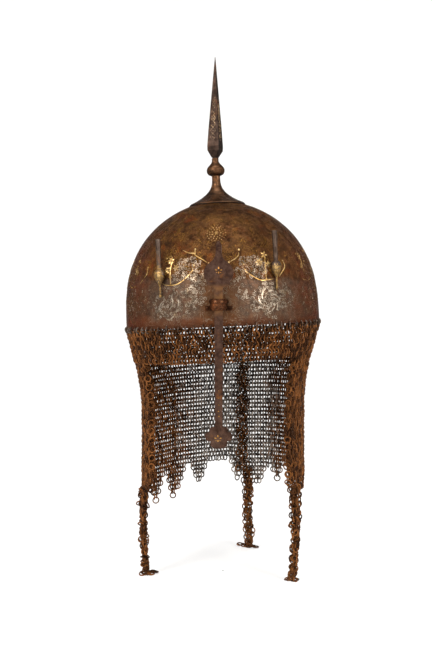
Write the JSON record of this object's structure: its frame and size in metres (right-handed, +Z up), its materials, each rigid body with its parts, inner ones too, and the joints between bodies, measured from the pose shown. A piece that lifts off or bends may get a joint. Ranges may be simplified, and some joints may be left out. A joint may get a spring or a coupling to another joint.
{
  "type": "kulah khud helmet",
  "caption": "Round steel helmet bowl with a four-sided spike, plume holders, a sliding nasal bar and a mail aventail that ends in dags and long points.",
  "frame": {"origin": "centre of the bowl's rim, where a head goes in", "axes": "+Z up towards the spike, -Y out of the face, +X to the right of a viewer who faces the helmet"},
  "size_m": [0.2057, 0.2197, 0.5482],
  "materials": {
    "bowl_steel": "russet patina with gold and silver inlay",
    "spike_steel": "dark brown patina",
    "gilt_steel": "worn gilding on steel",
    "nasal_steel": "worn brown patina with light rust",
    "mail_iron": "rusty wire rings"
  },
  "bodies": {
    "helmet": {"bowl": "bowl_steel", "spike_base": "spike_steel", "spike": "spike_steel", "plume_holder_left": "gilt_steel", "plume_holder_right": "gilt_steel", "nasal_bracket": "nasal_steel", "mail": "mail_iron", "mail_point_left": "mail_iron", "mail_point_right": "mail_iron", "mail_point_rear": "mail_iron"},
    "nasal": {"nasal": "nasal_steel"}
  },
  "joints": [
    {"name": "nasal_slide", "type": "slide", "parent": "helmet", "child": "nasal", "axis": [0, 0, 1], "range_m": [-0.0098, 0.108]}
  ]
}
